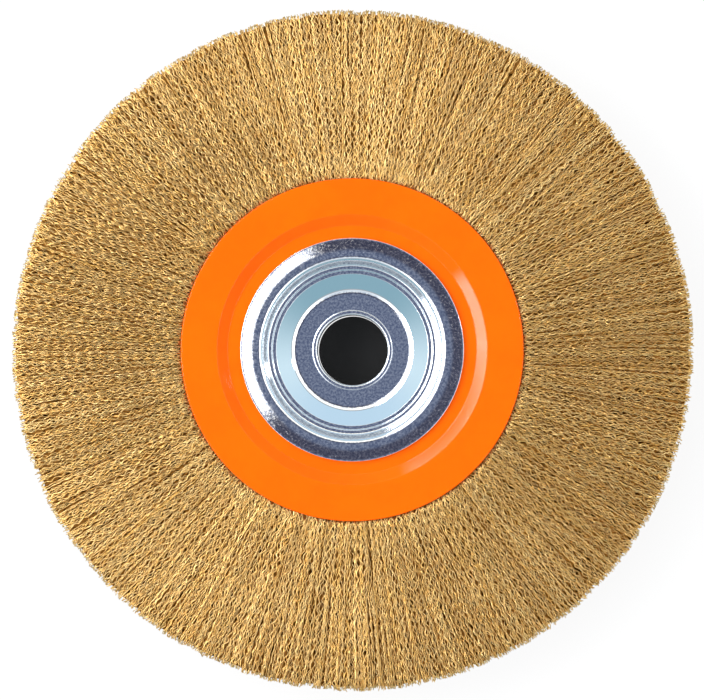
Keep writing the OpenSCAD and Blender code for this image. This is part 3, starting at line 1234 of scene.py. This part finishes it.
@dataclass
class CrimpedWires:
    """Crimped wires of one face, laid over its fill."""

    side: Side
    face: SolidFace
    rim: RaggedRim
    full_count: int = 1460
    outer_count: int = 800
    curl_count: int = 420
    pieces: int = 4
    wire_r: float = 0.19
    pitch: float = 4.2
    pitch_spread: float = 0.06
    inner_height: float = 0.85
    outer_height: float = 0.64
    height_spread: tuple[float, float] = (0.75, 1.25)
    rise_share: float = 0.7
    steps_a_wave: float = 3.0
    start_back: float = 1.1
    start_spread: float = 0.3
    outer_start: tuple[float, float] = (80.0, 100.0)
    curl_length: float = 11.0
    curl_spread: float = 2.0
    lift: float = 0.25
    depth: float = 1.1
    tip_spread: float = 0.32
    drift: float = 1.2
    stray: float = 0.3
    stray_run: float = 6.1
    thickness: tuple[float, float] = (0.85, 1.08)
    clear: float = 0.03
    free_z: float = 99.0
    seed: int = 21

    def centre_lines(self, rng: np.random.Generator, count: int, start: np.ndarray,
                     end: np.ndarray, steps: int) -> np.ndarray:
        """Lay wires out along the radius.

        Args:
            rng: Source of chance.
            count: Number of wires.
            start: Radius at which each starts.
            end: Radius at which each ends.
            steps: Number of straight steps in each.

        Returns:
            Array of wires by points by three, in millimetres, as on the front.
        """
        along = np.linspace(0, 1, steps + 1)[None, :]
        turn = (np.arange(count) + rng.uniform(-0.5, 0.5, count)) * FULL_TURN / count
        end = self.rim.ends(rng, end, turn)
        r = start[:, None] + (end - start)[:, None] * along
        pitch = self.pitch * (1 + self.pitch_spread * rng.normal(size=count))[:, None]
        phase = rng.uniform(0, FULL_TURN, count)[:, None]
        out = np.clip((r - PLATE_R) / (WHEEL_R - PLATE_R), 0, 1)
        height = self.inner_height + (self.outer_height - self.inner_height) * np.sqrt(out)
        height = height * rng.uniform(*self.height_spread, count)[:, None]
        wave = height * np.sin(FULL_TURN * r / pitch + phase)
        plane = rng.uniform(-math.pi / 2, math.pi / 2, count)[:, None]
        sideways = wave * np.cos(plane) + self.stray * np.sin(r / self.stray_run + phase * 3)
        sideways = sideways + rng.normal(0, self.drift, count)[:, None] * (along - 0.5)
        turn = turn[:, None] + sideways / r
        z = self.face.height(r, turn) + self.lift - self.depth * rng.random(count)[:, None]
        z = z + self.rise_share * wave * np.sin(plane)
        most_z = FACE_Z - self.wire_r - self.clear
        plate_edge = [PLATE_R, PLATE_R + self.wire_r * 3]
        under_plate = np.interp(r, plate_edge, [most_z - FacePlate.sheet, self.free_z])
        z = np.minimum(z, np.minimum(most_z, under_plate))
        return np.stack([r * np.cos(turn), r * np.sin(turn), z], axis=-1)

    def tips(self, rng: np.random.Generator, count: int) -> np.ndarray:
        """Draw the radii that wires end at."""
        return WHEEL_R - self.wire_r - np.abs(rng.normal(0, self.tip_spread, count))

    def wires(self) -> list[np.ndarray]:
        """Lay out full-length wires, those that show only near the tips, and curls.

        Returns:
            The centre lines of each kind.
        """
        rng = np.random.default_rng(self.seed)
        step = self.pitch / self.steps_a_wave
        start_r, end_r = PLATE_R - self.start_back, WHEEL_R - self.wire_r
        start = start_r + rng.uniform(-self.start_spread, self.start_spread, self.full_count)
        end = self.tips(rng, self.full_count)
        steps = round((end_r - start_r) / step)
        lines = [self.centre_lines(rng, self.full_count, start, end, steps)]
        start = rng.uniform(*self.outer_start, self.outer_count)
        end = self.tips(rng, self.outer_count)
        steps = round((end_r - sum(self.outer_start) / 2) / step)
        lines.append(self.centre_lines(rng, self.outer_count, start, end, steps))
        if self.curl_count:
            start = start_r + rng.uniform(0, self.curl_spread, self.curl_count)
            end = start + self.curl_length
            steps = round(self.curl_length / step)
            lines.append(self.centre_lines(rng, self.curl_count, start, end, steps))
        return lines

    def build(self) -> list[bpy.types.Object]:
        """Make the wires, shared out over several pieces by their angle.

        Returns:
            The pieces.
        """
        rng = np.random.default_rng(self.seed + 1)
        gathered = [MeshParts() for _ in range(self.pieces)]
        for lines in self.wires():
            if self.side is Side.REAR:
                lines = lines * np.array([1, 1, -1])
            turn = np.arctan2(lines[:, 0, 1], lines[:, 0, 0]) % FULL_TURN
            number = (turn / FULL_TURN * self.pieces).astype(int)
            for k, parts in enumerate(gathered):
                some = lines[number == k]
                radii = self.wire_r * rng.uniform(*self.thickness, len(some))
                made = tubes(some, radii, rng.uniform(0, FULL_TURN, len(some)))
                parts.add(made.points[0], made.quads[0], made.triangles[0])
        return [parts.make(f"{self.side.word}_wires_{k + 1}") for k, parts in enumerate(gathered)]

    def dress(self, pieces: list[bpy.types.Object], finishes: Finishes) -> None:
        """Give the wires their brass."""
        for piece in pieces:
            dress(piece, finishes.brass)


@dataclass
class RimWires:
    """Ends of the wires round the rim, between the two faces."""

    rim: RaggedRim
    count: int = 4000
    wire_r: float = 0.17
    length: float = 4.0
    half_width: float = 11.4
    lean: float = 0.8
    kink: float = 0.4
    tip_spread: float = 0.25
    seed: int = 31

    def build(self) -> bpy.types.Object:
        """Make the ends, each with one kink.

        Returns:
            The piece.
        """
        rng = np.random.default_rng(self.seed)
        tip = WHEEL_R - self.wire_r - np.abs(rng.normal(0, self.tip_spread, self.count))
        turn = rng.uniform(0, FULL_TURN, self.count)
        tip = self.rim.ends(rng, tip, turn)
        z = rng.uniform(-self.half_width, self.half_width, self.count)
        lines = np.zeros((self.count, 3, 3))
        for k, back in enumerate((self.length, self.length / 2, 0.0)):
            r = tip - back
            side = rng.normal(0, self.lean if k == 2 else self.kink, self.count)
            height = z + rng.normal(0, self.kink, self.count)
            height = np.clip(height, -self.half_width, self.half_width)
            lines[:, k] = np.stack([r * np.cos(turn + side / r), r * np.sin(turn + side / r),
                                    height], axis=1)
        radii = np.full(self.count, self.wire_r)
        return tubes(lines, radii, rng.uniform(0, FULL_TURN, self.count)).make("rim_wires")

    def dress(self, piece: bpy.types.Object, finishes: Finishes) -> None:
        """Give the ends their brass."""
        dress(piece, finishes.brass)


@dataclass
class Tent:
    """Light tent round the wheel, as colours by direction.

    Polar angles run from straight up, and turns from +X towards +Y, both in degrees.
    """

    zenith: tuple = rgb(0.19, 0.225, 0.32)
    dark_ring: tuple = rgb(0.078, 0.078, 0.115)
    band: tuple = rgb(2.5, 2.5, 2.5)
    band_top: tuple = rgb(1.4, 1.37, 1.27)
    band_bottom: tuple = rgb(0.8, 0.85, 0.9)
    lower_band: tuple = rgb(0.42, 0.45, 0.47)
    horizon: tuple = rgb(0.72, 0.9, 0.98)
    horizon_top: tuple = rgb(0.59, 0.78, 0.92)
    horizon_bottom: tuple = rgb(0.28, 0.46, 0.54)
    left_box: tuple = rgb(2.2, 2.22, 2.24)
    left_strip: tuple = rgb(18.0, 18.0, 18.0)
    zenith_edge: tuple[float, float] = (9.0, 24.0)
    dark_edge: tuple[float, float] = (27.5, 31.0)
    band_edge: tuple[float, float] = (54.0, 58.0)
    horizon_edge: tuple[float, float] = (63.0, 67.0)
    box_edges: tuple[float, float, float, float] = (15.0, 20.0, 40.0, 50.0)
    strip_edges: tuple[float, float, float, float] = (60.5, 61.2, 63.6, 64.2)
    left_turn: float = 164.0
    left_half: tuple[float, float] = (53.0, 43.0)

    @staticmethod
    def past(s: Shading, z: Socket, low: float, high: float) -> Socket:
        """Share that rises from 0 to 1 between two polar angles."""
        return s.span(z, math.cos(math.radians(low)), math.cos(math.radians(high)))

    def build(self) -> bpy.types.World:
        """Build the world.

        Returns:
            The world.
        """
        world = bpy.data.worlds.new("tent")
        world.use_nodes = True
        s = Shading(world.node_tree)
        x, y, z = s.split(s.add("ShaderNodeTexCoord").outputs["Generated"])
        flat = s.math("MAXIMUM", s.from_axle(x, y), 0.001)
        up = s.math("DIVIDE", y, flat)
        top, bottom = s.span(up, 0.1, 0.85), s.span(up, -0.6, -0.97)
        band = s.mix(bottom, s.mix(top, self.band, self.band_top), self.band_bottom)
        high, low = s.span(up, 0.3, 1.0), s.span(up, 0.35, -0.85)
        horizon = s.mix(low, s.mix(high, self.horizon, self.horizon_top), self.horizon_bottom)
        lit = s.mix(self.past(s, z, *self.zenith_edge), self.zenith, self.dark_ring)
        lit = s.mix(self.past(s, z, *self.dark_edge), lit, band)
        lit = s.mix(self.past(s, z, *self.band_edge), lit, self.lower_band)
        lit = s.mix(self.past(s, z, *self.horizon_edge), lit, horizon)
        left = math.radians(self.left_turn)
        to_left = s.math("ADD", s.math("MULTIPLY", x, math.cos(left)),
                         s.math("MULTIPLY", y, math.sin(left)))
        wide, narrow = (math.cos(math.radians(half)) for half in self.left_half)
        aside = s.span(s.math("DIVIDE", to_left, flat), wide, narrow)
        for edges, colour in ((self.box_edges, self.left_box), (self.strip_edges, self.left_strip)):
            inside = s.math("SUBTRACT", self.past(s, z, *edges[:2]), self.past(s, z, *edges[2:]))
            lit = s.mix(s.math("MULTIPLY", aside, inside), lit, colour)
        background = s.add("ShaderNodeBackground", {"Color": lit, "Strength": 1.0})
        s.add("ShaderNodeOutputWorld", {"Surface": background.outputs[0]})
        return world


@dataclass(frozen=True)
class SoftBox:
    """Soft box that faces the wheel, with its place and size in metres."""

    kind: Lamp
    place: tuple[float, float, float]
    size: tuple[float, float]
    watts: float

    def hang(self) -> None:
        """Hang the lamp."""
        data = bpy.data.lights.new(self.kind.value, "AREA")
        data.shape = "RECTANGLE"
        data.size, data.size_y = self.size
        data.energy = self.watts
        lamp = bpy.data.objects.new(self.kind.value, data)
        lamp.location = self.place
        lamp.rotation_euler = (-Vector(self.place)).to_track_quat("-Z", "Y").to_euler()
        bpy.context.scene.collection.objects.link(lamp)


@dataclass
class Studio:
    """Pale floor, soft light and the camera over the wheel."""

    picture: tuple[int, int] = (704, 700)
    silhouette_px: tuple[float, float, float] = (352.0, 349.6, 343.2)
    camera_mm: tuple[float, float, float] = (18.0, -18.0, 1000.0)
    sensor: float = 36.0
    floor_m: float = 6.0
    floor_gap_m: float = 0.00005
    floor_sides: int = 96
    floor_grey: tuple = rgb(0.88, 0.88, 0.88)
    floor_white: float = 0.88
    backing_sides: int = 64
    backing_black: tuple = rgb(0.004, 0.004, 0.004)
    softboxes: tuple[SoftBox, ...] = (
        SoftBox(Lamp.LEFT, (-0.6, 0.16, 0.62), (0.5, 0.5), 3.6),
        SoftBox(Lamp.RIGHT, (0.79, 0.21, 0.425), (0.12, 0.08), 0.5),
    )

    def camera(self) -> None:
        """Set the camera over the wheel, so that it has the photograph's size and place."""
        scale = WHEEL_R / self.silhouette_px[2]
        off_x = (self.picture[0] / 2 - self.silhouette_px[0]) * scale
        off_y = (self.silhouette_px[1] - self.picture[1] / 2) * scale
        target = Vector((off_x, off_y, FACE_Z)) * MM
        place = Vector(self.camera_mm) * MM
        data = bpy.data.cameras.new("camera")
        data.sensor_width = self.sensor
        data.lens = self.sensor * (place - target).length / (self.picture[0] * scale * MM)
        camera = bpy.data.objects.new("camera", data)
        back = (place - target).normalized()
        right = Vector((0, 1, 0)).cross(back).normalized()
        turn = Matrix((right, back.cross(right), back)).transposed().to_4x4()
        camera.matrix_world = Matrix.Translation(place) @ turn
        bpy.context.scene.collection.objects.link(camera)
        bpy.context.scene.camera = camera

    def floor(self) -> None:
        """Lay the floor, and a matt black disc under the bore."""
        rest_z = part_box("rear_face_plate")[0][2]
        floor = self.disc("floor", self.floor_m, rest_z - self.floor_gap_m, self.floor_sides)
        floor.data.materials.append(self.floor_finish())
        black = self.disc("bore_backing", bore_radius() * MM, rest_z, self.backing_sides)
        black.data.materials.append(self.black_finish())

    @staticmethod
    def disc(name: str, radius: float, height: float, sides: int) -> bpy.types.Object:
        """Make a flat disc round the axle.

        Args:
            name: Name of the object.
            radius: Its radius, in metres.
            height: Its height, in metres.
            sides: Number of sides.

        Returns:
            The disc.
        """
        turn = np.arange(sides) * FULL_TURN / sides
        points = [(radius * math.cos(a), radius * math.sin(a), height) for a in turn]
        mesh = bpy.data.meshes.new(name)
        mesh.from_pydata(points, [], [list(range(sides))])
        disc = bpy.data.objects.new(name, mesh)
        bpy.context.scene.collection.objects.link(disc)
        return disc

    def floor_finish(self) -> bpy.types.Material:
        """Make the white floor finish, which keeps the wheel's shadow.

        Returns:
            The material.
        """
        material, s = new_material("pale_floor")
        ray = s.add("ShaderNodeLightPath")
        seen = s.math("MAXIMUM", ray.outputs["Is Camera Ray"], ray.outputs["Is Glossy Ray"])
        seen = s.math("MAXIMUM", seen, ray.outputs["Is Transmission Ray"])
        matt = s.add("ShaderNodeBsdfDiffuse", {"Color": self.floor_grey})
        white = s.add("ShaderNodeEmission", {"Color": rgb(1, 1, 1), "Strength": 1.0})
        mixed = s.add("ShaderNodeMixShader", {0: s.math("MULTIPLY", seen, self.floor_white),
                                              1: matt.outputs[0], 2: white.outputs[0]})
        s.add("ShaderNodeOutputMaterial", {"Surface": mixed.outputs[0]})
        return material

    def black_finish(self) -> bpy.types.Material:
        """Make the matt black finish, with a fine fibre.

        Returns:
            The material.
        """
        material, s = new_material("matt_black")
        fibre = s.noise(s.object_place(), 3000.0)
        return finish_material(material, s, {"Base Color": self.backing_black,
                                             "Roughness": 0.9}, fibre, 0.00002)

    def build(self) -> None:
        """Set up the whole studio."""
        self.floor()
        bpy.context.scene.world = Tent().build()
        for softbox in self.softboxes:
            softbox.hang()
        self.camera()
        bpy.context.scene.view_settings.view_transform = "Standard"


def main() -> None:
    """Build and dress every piece, then the studio."""
    logging.basicConfig(level=logging.INFO, format="%(message)s")
    finishes = Finishes.build()
    for side in Side:
        for part in (FacePlate(side), HubCup(side)):
            part.dress(part.build(), finishes)
    sleeve = ArborSleeve()
    sleeve.dress(sleeve.build(), finishes)
    CoreRings().dress(finishes)
    face, rim = SolidFace(), RaggedRim()
    for fill in (FillSection("front", face, rim), FillSection("middle", face, rim),
                 FillSection("rear", face, rim, columns=360, face_rows=20)):
        fill.dress(fill.build(), finishes)
    faces = (CrimpedWires(Side.FRONT, face, rim),
             CrimpedWires(Side.REAR, face, rim, full_count=450, outer_count=260, curl_count=0,
                          pieces=2, wire_r=0.22, seed=41))
    for wires in faces:
        wires.dress(wires.build(), finishes)
    tips = RimWires(rim)
    tips.dress(tips.build(), finishes)
    Studio().build()
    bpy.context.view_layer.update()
    added = [piece for piece in bpy.context.scene.objects
             if piece.type == "MESH" and piece.name not in frame["nodes"]]
    log.info("%d pieces added, %d triangles", len(added), sum(map(triangles_in, added)))


if __name__ == "__main__":
    main()
